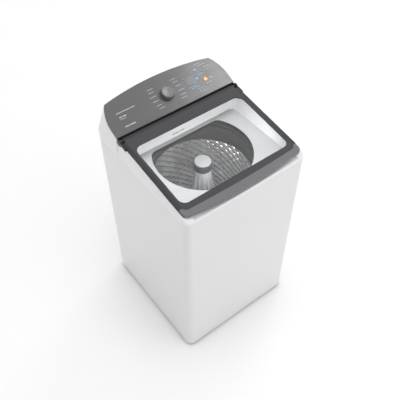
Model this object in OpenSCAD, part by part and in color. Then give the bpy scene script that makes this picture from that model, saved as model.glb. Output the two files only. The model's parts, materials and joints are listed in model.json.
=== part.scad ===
// Top load washing machine with a sloping glass lid, a rear console and a hanging tub.
// The frame: X to the right, the front faces -Y, Z up, origin on the floor under the middle of the cabinet.
// All sizes are in millimetres.

/* [Cabinet] */
// Width of the cabinet
body_w = 580; // [576:1:584]
// Depth of the cabinet
body_d = 606; // [602:1:610]
// Radius of the cabinet's upright corners
corner_r = 29; // [26:1:31]
// Gap between the floor and the cabinet
floor_gap = 12; // [11:1:14]
// Height of the metal cabinet's top edge
cabinet_top = 905; // [900:1:908]
// Thickness of the sheet metal
sheet = 1; // [0.8:0.1:1.2]

/* [Lid] */
// Slope of the closed lid, in degrees
lid_slope = 8.2; // [7.8:0.1:8.6]
// Half of the lid's width
lid_half_w = 280; // [278:1:281]
// Thickness of the lid's frame
lid_t = 14; // [13:0.5:15]
// Radius of the round bar along the lid's rear edge
barrel_r = 11; // [10:0.5:11]

/* [Console] */
// Slope of the control panel, in degrees
console_slope = 24.4; // [23:0.2:25]
// Diameter of the programme knob
knob_d = 59; // [54:1:62]
// Height of the programme knob above the panel
knob_h = 18; // [15:1:20]
// Travel of the push buttons
button_travel = 1.5; // [1:0.1:1.6]

/* [Tub and basket] */
// Distance of the tub's axis from the middle of the cabinet
axis_y = -20; // [-22:1:-18]
// Radius of the loading opening
opening_r = 203; // [200:1:205]
// Inner radius of the outer tub
tub_r = 258; // [256:1:259]
// Inner radius of the wash basket
basket_r = 240; // [238:1:241]
// Radius of the agitator's skirt
skirt_r = 172; // [160:1:180]

/* [Drive] */
// Radius of the large pulley, where the belt runs
pulley_r = 105; // [100:1:106]
// Radius of the motor's pulley, where the belt runs
motor_pulley_r = 18; // [17:1:19]
// Distance from the tub's axis to the motor's axis
motor_x = 172; // [170:1:174]
// Gap on the radius between a shaft and its bearing
running_gap = 0.05; // [0.03:0.01:0.08]

/* [Hidden] */
$fn = 96;

// The lid's own frame: x across, y up its slope, z out of its top face, with the origin near its front edge.
lid_y = -276;
lid_z = 941;
lid_bow = 17;               // how far the front edge bulges at the middle
lid_front = -26.3;          // the bulge's foremost point
lid_corner_r = 25;
pivot_ly = 405;             // the hinge axis in the lid's frame
pivot_lz = -barrel_r;
rail_end = 388;
window_half_w = 256;
window_front = 40;
window_rear = 348;
window_r = 30;
glass_half_w = 267;
glass_front = 10.5;
glass_rear = 396;
glass_t = 4;
border_t = 0.5;
handle_t = 10;
pin_r = 4;
pin_start = 258;            // inner end of each hinge pin
ear_r = 13.5;
groove_d = 24;              // depth of the finger groove under the lid's front edge
groove_half_w = 250;

// The control panel's own frame: x across, y up its slope, z out of its face, origin at its front edge.
panel_y = 141;
panel_z = 1001;
panel_half_w = 285;
panel_bow_r = 1269;
panel_depth = 169.6;
panel_side_r = 190;
panel_side_start = 38;
panel_corner_r = 14;
panel_t = 3;
panel_lip = 8;
knob_s = 78;
knob_shaft_r = 3;
board_z = -19.4;            // face of the control board, below the panel's face
switch_h = 8;
// each push button as its place across and up the panel, and its radius
start_at = [183.5, 64, 9];
option_1_at = [150.5, 81, 6];
option_2_at = [164, 118, 6];
buttons_at = [start_at, option_1_at, option_2_at];
display_box = [96, 66, 46, 38];    // left, front, width and depth on the panel

// The well under the lid and the tub below it.
split_y = 140.6;            // where the top cover meets the console
well_half_w = 268;
well_front = -272;
well_rear = 118;
well_r = 30;
well_bottom = 886;
wall = 3;
opening_back = 120;         // distance from the tub's axis to the opening's straight edge
opening_corner_r = 35;
slot_z = 904;
tub_bottom = 318;
tub_top = 846;
tub_floor_t = 5;
tub_wall = 3;
ring_z = 760;               // underside of the balance ring
ring_top = 840;
ring_r = 205;
basket_z = 346;
seal_r = 40;
tube_r = 20;
shaft_r = 9;
bearing_r = 36;
rod_offset = 222;           // distance of each hanging rod from the tub's axis, along X and along Y
rod_r = 4;
rod_cap_z = 330;
lug_z = 425;
lug_h = 20;
bracket_z = 840;
plate_z = 308;
plate_t = 4;
pulley_z = 197;
pulley_h = 16;
belt_gap = 0.3;
belt_t = 5;
pump_at = [-150, 100];
pump_top = 170;
rear_plane = 284;
rear_half_w = 240;
foot_at = [240, 252];
valve_at = [[150, 880], [190, 880]];
manifold_y = 238;
sump_l = 14;                // length of the outlet under the tub
column_z = 560;             // joint between the agitator's base and its column
column_top = 797;
cap_z = 834;

// ---------- helpers ----------

function arc(c, r, a0, a1, n) = [for (i = [0 : n])
    let (a = a0 + (a1 - a0) * i / n)
    c + r * [cos(a), sin(a)]];

function mirrored(pts) = [for (i = [len(pts) - 1 : -1 : 0]) [-pts[i].x, pts[i].y]];

// The right-hand meeting point of two circles
function meet(c1, r1, c2, r2) =
    let (v = c2 - c1, d = norm(v), a = (d * d + r1 * r1 - r2 * r2) / (2 * d))
    let (h = sqrt(r1 * r1 - a * a), u = v / d)
    let (p = c1 + a * u + h * [u.y, -u.x], q = c1 + a * u - h * [u.y, -u.x])
    p.x > q.x ? p : q;

// Plate with a bulging front edge, straight sides and rounded corners; grow moves every edge outward
function bowed_plate(half_w, front, rear, bow_r, r_front, r_rear, grow = 0) =
    let (w = half_w + grow, rf = r_front + grow, rr = max(r_rear + grow, 0.5), big = bow_r + grow)
    let (c = [0, front + bow_r], cx = w - rf, cy = c.y - sqrt((big - rf) * (big - rf) - cx * cx))
    let (a = atan2(cy - c.y, cx))
    let (half = concat(arc(c, big, -90, a, 12), arc([cx, cy], rf, a, 0, 8),
        arc([w - rr, rear + grow - rr], rr, 0, 90, 6)))
    concat(half, mirrored(half));

function lid_outline(grow = 0, rear = rail_end) =
    let (chord = lid_half_w - lid_corner_r / 2, r = (chord * chord + lid_bow * lid_bow) / (2 * lid_bow))
    bowed_plate(lid_half_w, lid_front, rear, r, lid_corner_r, 1, grow);

function glass_outline(grow = 0) = bowed_plate(glass_half_w, glass_front, glass_rear, 5500, 22, 3, grow);

// The control panel's outline: a straight front edge, sides that curve inward and a bulging rear edge
function panel_outline(grow = 0) =
    let (bow_c = [0, panel_depth - panel_bow_r], side_c = [panel_half_w - panel_side_r, panel_side_start])
    let (k = meet(side_c, panel_side_r - panel_corner_r, bow_c, panel_bow_r - panel_corner_r))
    let (a = atan2(k.y - side_c.y, k.x - side_c.x), b = atan2(k.y - bow_c.y, k.x - bow_c.x))
    let (half = concat([[panel_half_w + grow, -grow]], arc(side_c, panel_side_r + grow, 0, a, 10),
        arc(k, panel_corner_r + grow, a, b, 6), arc(bow_c, panel_bow_r + grow, b, 90, 12)))
    concat(half, mirrored(half));

module on_lid() translate([0, lid_y, lid_z]) rotate([lid_slope, 0, 0]) children();

module on_panel() translate([0, panel_y, panel_z]) rotate([console_slope, 0, 0]) children();

module on_axis() translate([0, axis_y, 0]) children();

// Across the cabinet along the lid's hinge axis, with the cylinder starting at x
module along_hinge(x, l, r) on_lid()
    translate([x, pivot_ly, pivot_lz]) rotate([0, 90, 0]) cylinder(r = r, h = l);

module both_sides() {
    children();
    mirror([1, 0, 0]) children();
}

// The four hanging rods stand at the corners of a square round the tub's axis
module at_rods() {
    for (sx = [-1, 1], sy = [-1, 1])
        translate([sx * rod_offset, axis_y + sy * rod_offset, 0]) children();
}

module rounded_rect(w, d, r) {
    square([w - 2 * r, d], center = true);
    square([w, d - 2 * r], center = true);
    for (sx = [-1, 1], sy = [-1, 1])
        translate([sx * (w / 2 - r), sy * (d / 2 - r)]) circle(r);
}

module body_outline(inset = 0) rounded_rect(body_w - 2 * inset, body_d - 2 * inset, corner_r - inset);

module body_slab(z, h, inset = 0) translate([0, 0, z]) linear_extrude(h) body_outline(inset);

module tube(r_in, r_out, z, h) {
    translate([0, 0, z]) difference() {
        cylinder(r = r_out, h = h);
        translate([0, 0, -1]) cylinder(r = r_in, h = h + 2);
    }
}

module well_shape(grow, z, h) {
    depth = well_rear - well_front + 2 * grow;
    translate([0, (well_rear + well_front) / 2, z])
        linear_extrude(h) rounded_rect(2 * (well_half_w + grow), depth, well_r + grow);
}

// ---------- cabinet ----------

module cabinet() color("whitesmoke") {
    difference() {
        body_slab(floor_gap, cabinet_top - floor_gap);
        body_slab(floor_gap - 1, cabinet_top - floor_gap + 2, sheet);
        translate([-rear_half_w + 4, body_d / 2 - 10, floor_gap - 1])
            cube([2 * rear_half_w - 8, 20, cabinet_top]);
        at_rear_screws() translate([0, 0, -5]) cylinder(r = 4, h = 12);
    }
}

// Places of the screws in the cabinet's rear edges, with z pointing into the cabinet
module at_rear_screws() {
    for (sx = [-1, 1], z = [90 : 130 : 870])
        translate([sx * (rear_half_w + 10), body_d / 2, z]) rotate([90, 0, 0]) children();
}

module rear_panel_screws() color("silver") at_rear_screws() {
    cylinder(r = 4, h = sheet);
    cylinder(r = 2, h = 10);
}

module rear_panel() color("gainsboro") {
    flange_y = body_d / 2 - 2 * sheet;
    bottom = 34;
    difference() {
        translate([0, 0, bottom]) linear_extrude(cabinet_top - bottom) {
            translate([-rear_half_w, rear_plane]) square([2 * rear_half_w, sheet]);
            both_sides() {
                translate([rear_half_w - sheet, rear_plane]) square([sheet, flange_y - rear_plane + sheet]);
                translate([rear_half_w - sheet, flange_y]) square([20, sheet]);
            }
        }
        at_rear_screws() cylinder(r = 2, h = 9);
        for (v = valve_at) translate([v.x, 320, v.y]) rotate([90, 0, 0]) cylinder(r = 14, h = 60);
        translate([pump_at.x, 320, 95]) rotate([90, 0, 0]) cylinder(r = 12, h = 60);
        translate([-190, 320, 850]) rotate([90, 0, 0]) cylinder(r = 8, h = 60);
        // air slots over the motor
        for (i = [0 : 7]) translate([90 + 14 * i, rear_plane - 5, 180]) cube([6, 10, 70]);
    }
    // two upright stiffening ribs
    for (x = [-60, 30]) translate([x, rear_plane + sheet, 120]) cube([10, 4, 660]);
}

module base_frame() color("dimgray") {
    z = floor_gap + 1;
    h = 20;
    difference() {
        union() {
            difference() {
                body_slab(z, h, sheet + 0.2);
                body_slab(z - 1, h + 2, 20);
            }
            for (sx = [-1, 1], sy = [-1, 1])
                translate([sx * foot_at.x, sy * foot_at.y, z]) cylinder(r = 33, h = h);
            // shelf under the drain pump
            translate([-275, 50, z + h - 4]) cube([190, 238, 4]);
        }
        for (sx = [-1, 1], sy = [-1, 1])
            translate([sx * foot_at.x, sy * foot_at.y, z - 1]) cylinder(r = 5 + running_gap, h = h + 2);
    }
}

module foot(sx, sy) color("darkslategray") translate([sx * foot_at.x, sy * foot_at.y, 0]) {
    cylinder(r1 = 20, r2 = 18, h = 3);
    translate([0, 0, 3]) cylinder(r = 15, h = 6);
    translate([0, 0, 9]) cylinder(r = 5, h = 22);
}

module foot_front_left() foot(-1, -1);
module foot_front_right() foot(1, -1);
module foot_rear_left() foot(-1, 1);
module foot_rear_right() foot(1, 1);

// ---------- top cover, well and hinge ----------

module top_cover() color("white") {
    edge_h = 9;
    difference() {
        union() {
            intersection() {
                hull($fn = 32) {
                    body_slab(cabinet_top, edge_h, $fn = 32);
                    body_slab(cabinet_top + edge_h, 3, 1.5, $fn = 32);
                    body_slab(cabinet_top + edge_h + 4, 0.5, 6, $fn = 32);
                    on_lid() translate([0, 0, -9]) linear_extrude(1) intersection() {
                        polygon(lid_outline(5, 420));
                        translate([-400, 14]) square([800, 500]);
                    }
                }
                translate([-400, -400, 0]) cube([800, 400 + split_y, 1200]);
            }
            well_shape(wall, well_bottom, 25);
            // tongue inside the cabinet's edge
            difference() {
                body_slab(cabinet_top - 12, 13, sheet + 0.3);
                body_slab(cabinet_top - 13, 15, sheet + 2.5);
                translate([-400, split_y, 0]) cube([800, 400, 1200]);
            }
        }
        // pocket that the lid lies in
        on_lid() translate([0, 0, -lid_t - 0.4]) linear_extrude(100) polygon(lid_outline(1.5, 440));
        // hollow between the outer wall and the well
        difference() {
            hull($fn = 32) {
                body_slab(cabinet_top - 1, 1, wall, $fn = 32);
                on_lid() translate([0, 0, -lid_t - wall - 1]) linear_extrude(1) polygon(lid_outline(0, 460));
            }
            well_shape(wall, well_bottom, 200);
            along_hinge(-290, 580, barrel_r + 5.5);
            // floor and back of the finger groove
            translate([-groove_half_w - wall, -body_d / 2 - 1, cabinet_top + edge_h + 1])
                cube([2 * (groove_half_w + wall), groove_d + 1 + wall, 60]);
        }
        well_shape(0, well_bottom - 1, 300);
        along_hinge(-lid_half_w - 1.5, 2 * lid_half_w + 3, barrel_r + 1.5);
        // room for the hinge ears
        both_sides() along_hinge(lid_half_w - 0.4, 20, ear_r + 1);
        both_sides() on_lid() translate([lid_half_w - 0.4, rail_end - 32, -lid_t - 0.4]) cube([20, 80, 60]);
        // finger groove under the lid's front edge
        translate([-groove_half_w, -body_d / 2 - 1, cabinet_top + edge_h + 4])
            cube([2 * groove_half_w, groove_d + 1, 60]);
        // slot that the water comes in by
        translate([-15, well_rear - 10, slot_z - 4]) cube([30, 20, 8]);
    }
}

// The loading opening: a circle with a straight rear edge and rounded corners
function opening_outline(grow = 0) =
    let (k = opening_r - opening_corner_r, ky = opening_back - opening_corner_r, kx = sqrt(k * k - ky * ky))
    let (half = concat(arc([0, 0], opening_r + grow, -90, atan2(ky, kx), 48),
        arc([kx, ky], opening_corner_r + grow, atan2(ky, kx), 90, 10)))
    concat(half, mirrored(half));

module tub_cover() color("white") {
    lip_z = 870;
    thick = 4;
    difference() {
        union() {
            well_shape(wall, well_bottom - thick, thick);
            on_axis() translate([0, 0, lip_z]) linear_extrude(well_bottom - lip_z)
                polygon(opening_outline(wall));
        }
        on_axis() translate([0, 0, lip_z - 1]) linear_extrude(40) polygon(opening_outline());
    }
}

module hinge_blocks() color("white") {
    both_sides() difference() {
        union() {
            along_hinge(268.6, 10.8, 9);
            intersection() {
                along_hinge(268.6, 10.8, barrel_r + 1.5);
                on_lid() translate([260, pivot_ly - 8, pivot_lz - 20]) cube([30, 16, 20]);
            }
        }
        along_hinge(260, 30, pin_r + running_gap);
    }
}

module lid_lock() color("gainsboro") {
    translate([240, 60, 886]) difference() {
        translate([32, -25, 2]) cube([9, 50, 24]);
        translate([34, -22, 4]) cube([20, 44, 20]);
    }
}

// ---------- lid ----------

module window_shape(grow) {
    translate([0, (window_front + window_rear) / 2])
        rounded_rect(2 * (window_half_w + grow), window_rear - window_front + 2 * grow, window_r + grow);
}

module lid_frame() color("dimgray") {
    difference() {
        union() {
            on_lid() {
                translate([0, 0, -lid_t]) linear_extrude(lid_t) intersection() {
                    polygon(lid_outline());
                    translate([-400, 2]) square([800, 500]);
                }
                translate([-268, rail_end - 1, -lid_t]) cube([536, pivot_ly - rail_end + 1, lid_t]);
            }
            along_hinge(-268, 536, barrel_r);
        }
        on_lid() {
            translate([0, 0, -glass_t - border_t]) linear_extrude(20) polygon(glass_outline(0.3));
            translate([0, 0, -50]) linear_extrude(100) window_shape(6);
            translate([0, 0, -handle_t - 0.1]) linear_extrude(50) difference() {
                handle_blank(5);
                polygon(glass_outline(0.3));
            }
        }
        both_sides() along_hinge(pin_start, 20, pin_r);
    }
}

module lid_glass() color([0.35, 0.36, 0.38, 0.4]) {
    on_lid() translate([0, 0, -glass_t]) linear_extrude(glass_t) polygon(glass_outline());
}

module glass_border() color([0.2, 0.2, 0.21]) {
    on_lid() translate([0, 0, -glass_t - border_t]) linear_extrude(border_t) difference() {
        polygon(glass_outline());
        window_shape(0);
    }
}

module lid_handle() color("gray") {
    bevel = 2.5;
    on_lid() difference() {
        hull() {
            translate([0, 0, -handle_t + 3]) linear_extrude(handle_t - 3 - bevel) handle_blank(0);
            translate([0, 0, -handle_t]) linear_extrude(handle_t) handle_blank(-bevel);
        }
        translate([0, 0, -50]) linear_extrude(100) polygon(glass_outline(0.4));
    }
}

module handle_blank(grow) {
    intersection() {
        polygon(lid_outline(grow));
        translate([-400, -100]) square([800, 129.8]);
    }
}

// Each ear is moulded with the pin that the lid turns on
module hinge_ears() color([0.12, 0.12, 0.13]) {
    ear_w = 7;
    both_sides() {
        along_hinge(lid_half_w, ear_w, ear_r);
        along_hinge(pin_start, lid_half_w + 1 - pin_start, pin_r);
        on_lid() translate([lid_half_w, rail_end - 28, -lid_t + 1]) cube([ear_w, 35, lid_t - 3]);
    }
}

// ---------- console ----------

module console_housing() color("white") {
    shoulder_h = 45;
    difference() {
        hull($fn = 32) {
            intersection() {
                body_slab(cabinet_top, shoulder_h, $fn = 32);
                translate([-400, panel_y, 0]) cube([800, 400, 1200]);
            }
            on_panel() translate([0, 0, -panel_t - 1]) linear_extrude(1) polygon(panel_outline(1.2));
        }
        hull($fn = 32) {
            intersection() {
                body_slab(cabinet_top - 1, shoulder_h, wall, $fn = 32);
                translate([-400, panel_y + wall, 0]) cube([800, 400, 1200]);
            }
            on_panel() translate([0, 0, -panel_t - wall - 1]) linear_extrude(1) polygon(panel_outline(-4));
        }
        on_panel() translate([0, 0, -12]) linear_extrude(20) polygon(panel_outline(-panel_lip));
        // notch for the water spout
        translate([-16, panel_y - 5, cabinet_top - 5]) cube([32, 12, 9]);
    }
}

module console_fascia() color([0.42, 0.42, 0.43]) {
    on_panel() difference() {
        translate([0, 0, -panel_t]) linear_extrude(panel_t) polygon(panel_outline());
        translate([0, knob_s, -5]) cylinder(r = knob_shaft_r + running_gap, h = 10);
        for (b = buttons_at)
            translate([b[0], b[1], -5]) cylinder(r = b[2] + 0.4, h = 10);
        translate([0, 0, -1.5]) linear_extrude(5) display_shape(0.1);
        at_indicators() translate([0, 0, -5]) cylinder(r = 1.9, h = 10);
    }
}

module display_shape(grow) {
    translate([display_box[0] + display_box[2] / 2, display_box[1] + display_box[3] / 2])
        rounded_rect(display_box[2] + 2 * grow, display_box[3] + 2 * grow, 3);
}

module display_window() color([0.25, 0.27, 0.3]) {
    on_panel() translate([0, 0, -1.5]) linear_extrude(1.8) display_shape(0);
}

// Two short rows of lights beside the buttons
module at_indicators() {
    for (i = [0 : 3]) translate([132 + 16 * i, 30, 0]) children();
    for (i = [0 : 2]) translate([190 + 14 * i, 108 - 4 * i, 0]) children();
}

module indicator_lights() color("lightskyblue") {
    on_panel() at_indicators() translate([0, 0, -6]) {
        cylinder(r = 1.8, h = 6);
        cylinder(r = 2.6, h = 2.8);
    }
}

module control_board() color("seagreen") {
    on_panel() difference() {
        translate([-70, 18, board_z - 1.6]) cube([310, 112, 1.6]);
        for (x = [-60, 230], y = [26, 122]) translate([x, y, -25]) cylinder(r = 1.6, h = 10);
    }
}

// The knob's encoder and one small switch under each push button
module panel_switches() color([0.15, 0.15, 0.15]) on_panel() {
    translate([0, knob_s, 0]) difference() {
        translate([-8, -8, board_z]) cube([16, 16, 12]);
        translate([0, 0, -16]) cylinder(r = knob_shaft_r + running_gap, h = 20);
    }
    for (b = buttons_at) translate([b[0], b[1], board_z]) {
        translate([-4, -4, 0]) cube([8, 8, switch_h - 2]);
        cylinder(r = 2.5, h = switch_h);
    }
}

module programme_knob() color("gray") on_panel() translate([0, knob_s, 0]) {
    rim = 2;
    edge = knob_d / 2;
    rotate_extrude() polygon(concat([[0, 0.6], [edge - 1, 0.6], [edge, rim], [edge - 1.5, knob_h - rim]],
        arc([edge - 3.5, knob_h - rim], rim, 0, 90, 5), [[edge - 8, knob_h - 1.5], [0, knob_h - 3]]));
    translate([0, 0, -14]) cylinder(r = knob_shaft_r, h = 16);
}

// A cap with a collar that stops under the panel and a stem that presses the switch
module push_button(b) on_panel() translate([b[0], b[1], 0]) {
    collar = -panel_t - 0.3;
    stem = board_z + switch_h + button_travel + 0.3;
    rotate_extrude() polygon([[0, stem], [3, stem], [3, collar - 1.5], [b[2] + 1.6, collar - 1.5],
        [b[2] + 1.6, collar], [b[2], collar], [b[2], 0.8], [b[2] - 1, 1.6], [0, 1.2]]);
}

module start_button() color("darkorange") push_button(start_at);

module option_button_1() color("steelblue") push_button(option_1_at);

module option_button_2() color("steelblue") push_button(option_2_at);

// ---------- water ----------

module inlet_valves() color("ivory") {
    for (v = valve_at) translate([v.x, rear_plane, v.y]) rotate([90, 0, 0]) {
        difference() {
            translate([0, 0, -19]) cylinder(r = 13.2, h = 19);
            translate([0, 0, -20]) cylinder(r = 8, h = 15);
        }
        translate([0, 0, -2]) cylinder(r = 13.9, h = 2);
        cylinder(r = 17, h = 6);
        translate([0, 0, 6]) cylinder(r = 13, h = 22);
        translate([-10, -12, 28]) cube([20, 24, 14]);
    }
    // shared outlet manifold
    translate([valve_at[0].x - 12, manifold_y, valve_at[0].y]) rotate([0, 90, 0]) cylinder(r = 8, h = 52);
}

module water_spout() color("white") {
    spout_y = well_rear + 0.5;
    difference() {
        union() {
            translate([-15, spout_y, slot_z - 4]) cube([30, 34, 8]);
            translate([0, spout_y + 34, slot_z]) rotate([-90, 0, 0]) cylinder(r = 8, h = 20);
        }
        translate([-13, spout_y - 1, slot_z - 2.5]) cube([26, 33, 5]);
        translate([0, spout_y + 20, slot_z]) rotate([-90, 0, 0]) cylinder(r = 2.4, h = 50);
    }
}

// A bent hose of straight stretches with round elbows
module fill_hose() color([0.2, 0.2, 0.2]) {
    r = 8;
    $fn = 32;
    route = [[0, well_rear + 54.5, slot_z], [0, 205, slot_z], [100, manifold_y, 880],
        [valve_at[0].x - 12, manifold_y, 880]];
    for (i = [0 : len(route) - 2]) {
        v = route[i + 1] - route[i];
        translate(route[i]) rotate([0, acos(v.z / norm(v)), atan2(v.y, v.x)]) cylinder(r = r, h = norm(v));
    }
    for (i = [1 : len(route) - 2]) translate(route[i]) sphere(r = r);
}

module cord_gland() color([0.1, 0.1, 0.1]) {
    translate([-190, rear_plane + sheet, 850]) rotate([90, 0, 0]) difference() {
        union() {
            translate([0, 0, -10]) cylinder(r1 = 7, r2 = 10, h = 10);
            cylinder(r = 8, h = sheet);
            translate([0, 0, sheet]) cylinder(r = 11, h = 5);
        }
        translate([0, 0, -11]) cylinder(r = 4, h = 20);
    }
}

module drain_pump() color("lightgray") {
    shelf_z = floor_gap + 21;
    translate([pump_at.x, pump_at.y, 0]) {
        for (x = [-28, 28], y = [-22, 22]) translate([x, y, shelf_z]) cylinder(r = 6, h = 26);
        translate([0, 0, shelf_z + 26]) cylinder(r = 42, h = 60);
        difference() {
            translate([0, 0, shelf_z + 86]) cylinder(r = 26, h = pump_top - shelf_z - 86);
            translate([0, 0, shelf_z + 100]) cylinder(r = 22, h = 80);
        }
        translate([0, 30, 95]) rotate([-90, 0, 0]) tube(8, 11, 0, 130);
        // motor of the pump
        translate([0, -38, 90]) rotate([90, 0, 0]) cylinder(r = 26, h = 55);
    }
}

module drain_outlet() color("gray") {
    translate([pump_at.x, 0, 95]) rotate([-90, 0, 0]) {
        translate([0, 0, rear_plane + sheet]) tube(8, 17, 0, 3);
        tube(8, 11, pump_at.y + 160, body_d / 2 - pump_at.y - 160);
    }
}

// Corrugated sleeve between the tub's outlet and the pump
module drain_bellows() color([0.15, 0.15, 0.15]) {
    n = 9;
    pitch = (tub_bottom - sump_l - pump_top) / n;
    outer = [for (i = [0 : n - 1], k = [0, 1]) [k == 0 ? 24 : 30, pump_top + pitch * (i + k / 2)]];
    inner = [for (i = [n - 1 : -1 : 0], k = [1, 0]) [k == 0 ? 21 : 27, pump_top + pitch * (i + k / 2)]];
    translate([pump_at.x, pump_at.y, 0]) rotate_extrude()
        polygon(concat(outer, [[24, tub_bottom - sump_l], [21, tub_bottom - sump_l]], inner));
}

// ---------- suspension ----------

module rod_brackets() color("silver") {
    x_wall = body_w / 2 - sheet;
    for (sy = [-1, 1]) translate([0, axis_y, 0]) mirror([0, sy > 0 ? 1 : 0, 0]) both_sides() {
        difference() {
            translate([0, 0, bracket_z]) linear_extrude(3)
                polygon([[x_wall, -252], [203, -252], [203, -208], [240, -175], [x_wall, -175]]);
            translate([rod_offset, -rod_offset, bracket_z - 1]) cylinder(r = 6, h = 10);
        }
        translate([x_wall - 2, -252, bracket_z - 40]) cube([2, 77, 40]);
    }
}

module suspension_rods() color("silver") {
    at_rods() {
        translate([0, 0, rod_cap_z]) cylinder(r = rod_r, h = bracket_z + 8 - rod_cap_z);
        translate([0, 0, rod_cap_z]) cylinder(r = 16, h = 6);
        translate([0, 0, bracket_z + 3]) cylinder(r = 11, h = 4);
        translate([0, 0, bracket_z + 7]) cylinder(r1 = 11, r2 = 5, h = 5);
    }
}

// One coil spring as a swept tube; it stands between a rod's end cap and the tub's lug
module coil_spring(r, wire_r, z0, z1, turns) {
    steps = 14;
    sides = 6;
    n = turns * steps;
    rise = (z1 - z0 - 2 * wire_r) / n;
    points = [for (i = [0 : n], j = [0 : sides - 1])
        let (a = 360 * i / steps, b = 360 * j / sides, rr = r + wire_r * cos(b))
        [rr * cos(a), rr * sin(a), z0 + wire_r + rise * i + wire_r * sin(b)]];
    walls = [for (i = [0 : n - 1], j = [0 : sides - 1])
        let (k = (j + 1) % sides) [i * sides + j, i * sides + k, (i + 1) * sides + k, (i + 1) * sides + j]];
    start_cap = [[for (j = [sides - 1 : -1 : 0]) j]];
    end_cap = [[for (j = [0 : sides - 1]) n * sides + j]];
    polyhedron(points, concat(walls, start_cap, end_cap));
}

module suspension_springs() color("darkgray") {
    at_rods() coil_spring(10.5, 1.8, rod_cap_z + 6, lug_z, 5);
}

// ---------- tub ----------

module outer_tub() color("lightgray") on_axis() {
    difference() {
        union() {
            tube(tub_r, tub_r + tub_wall, tub_bottom, tub_top - tub_bottom);
            translate([0, 0, tub_bottom]) cylinder(r = tub_r + 1, h = tub_floor_t);
            tube(tub_r, tub_r + 10, tub_top - 12, 12);
            for (a = [45 : 90 : 315]) rotate([0, 0, a]) {
                translate([tub_r + 1, -11, lug_z]) cube([rod_offset * sqrt(2) - tub_r, 22, lug_h]);
                translate([rod_offset * sqrt(2), 0, lug_z]) cylinder(r = 16, h = lug_h);
            }
            translate([pump_at.x, pump_at.y - axis_y, tub_bottom - sump_l]) cylinder(r = 24, h = sump_l + 1);
        }
        translate([0, 0, tub_bottom - 1]) cylinder(r = seal_r, h = 20);
        for (a = [45 : 90 : 315]) rotate([0, 0, a])
            translate([rod_offset * sqrt(2), 0, lug_z - 1]) cylinder(r = 6.5, h = lug_h + 2);
        translate([pump_at.x, pump_at.y - axis_y, tub_bottom - 20]) cylinder(r = 20, h = 40);
    }
}

module tub_ring() color([0.3, 0.3, 0.31]) on_axis() rotate_extrude($fn = 180) {
    polygon([[210, tub_top + 6], [214, tub_top + 11], [tub_r + 10, tub_top + 11], [tub_r + 10, tub_top],
        [tub_r - 6, tub_top], [tub_r - 8, tub_top + 5], [214, tub_top + 5], [212, tub_top + 1],
        [210, tub_top + 1]]);
}

module clutch_housing() color("silver") on_axis() difference() {
    union() {
        translate([0, 0, 226]) cylinder(r = 50, h = tub_bottom - 226);
        translate([0, 0, plate_z + plate_t]) cylinder(r = 95, h = tub_bottom - plate_z - plate_t);
    }
    translate([0, 0, 232]) cylinder(r = bearing_r, h = 100);
    translate([0, 0, 220]) cylinder(r = tube_r + 2, h = 100);
    for (a = [0 : 60 : 300]) rotate([0, 0, a]) translate([80, 0, 300]) cylinder(r = 4, h = 30);
}

module tub_bearings() color("gainsboro") on_axis() {
    for (z = [234, 300]) tube(tube_r + running_gap, bearing_r, z, 16);
}

module shaft_seal() color([0.1, 0.1, 0.1]) on_axis() {
    tube(tube_r + running_gap, seal_r, tub_bottom + 0.2, tub_floor_t - 0.4);
}

module drive_plate() color("silver") on_axis() difference() {
    translate([-105, -65, plate_z]) cube([345, 130, plate_t]);
    translate([0, 0, plate_z - 1]) cylinder(r = 50, h = 10);
    for (y = [-52, 52]) translate([motor_x, y, plate_z - 1]) cylinder(r = 3.2, h = 10);
}

module at_motor() translate([motor_x, axis_y, 0]) children();

module motor_housing() color("slategray") at_motor() difference() {
    translate([0, 0, 226]) cylinder(r = 62, h = plate_z - 226);
    translate([0, 0, 234]) cylinder(r = 54, h = 66);
    translate([0, 0, 220]) cylinder(r = 7 + running_gap, h = 84);
    for (a = [0 : 30 : 330]) rotate([0, 0, a]) translate([50, -4, 245]) cube([20, 8, 44]);
}

module motor_stator() color("peru") at_motor() tube(31, 54, 242, 52);

module motor_rotor() color("silver") at_motor() {
    translate([0, 0, 190]) cylinder(r = 7, h = 113);
    translate([0, 0, 243]) cylinder(r = 30, h = 50);
}

// Flanged belt pulley of running radius r with a bore
module pulley(r, bore) rotate_extrude() polygon([
    [bore, pulley_z - 3], [r + 3, pulley_z - 3], [r + 3, pulley_z],
    [r, pulley_z], [r, pulley_z + pulley_h], [r + 3, pulley_z + pulley_h], [r + 3, pulley_z + pulley_h + 3],
    [bore, pulley_z + pulley_h + 3]]);

module motor_pulley() color("silver") at_motor() pulley(motor_pulley_r, 7);

module drive_pulley() color("silver") on_axis() difference() {
    pulley(pulley_r, shaft_r);
    for (a = [0 : 60 : 300]) rotate([0, 0, a]) translate([60, 0, pulley_z - 5]) cylinder(r = 22, h = 40);
}

// Area inside a belt that runs round two circles a distance d apart
module belt_area(r1, r2, d) {
    a = acos((r1 - r2) / d);
    circle(r1);
    translate([d, 0]) circle(r2);
    polygon([r1 * [cos(a), sin(a)], [d, 0] + r2 * [cos(a), sin(a)], [d, 0] + r2 * [cos(a), -sin(a)],
        r1 * [cos(a), -sin(a)]]);
}

module drive_belt() color([0.1, 0.1, 0.1]) on_axis() translate([0, 0, pulley_z + 1]) difference() {
    linear_extrude(pulley_h - 2)
        belt_area(pulley_r + belt_gap + belt_t, motor_pulley_r + belt_gap + belt_t, motor_x);
    translate([0, 0, -1]) linear_extrude(pulley_h)
        belt_area(pulley_r + belt_gap, motor_pulley_r + belt_gap, motor_x);
}

module run_capacitor() color("lightgray") on_axis() {
    translate([-80, 0, 232]) cylinder(r = 20, h = plate_z - 232);
    for (x = [-86, -74]) translate([x, -2, 224]) cube([2, 5, 9]);
}

// ---------- basket ----------

module basket() color("lightsteelblue") on_axis() {
    tube(basket_r, basket_r + 1, basket_z, ring_z - basket_z, $fn = 180);
}

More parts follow.
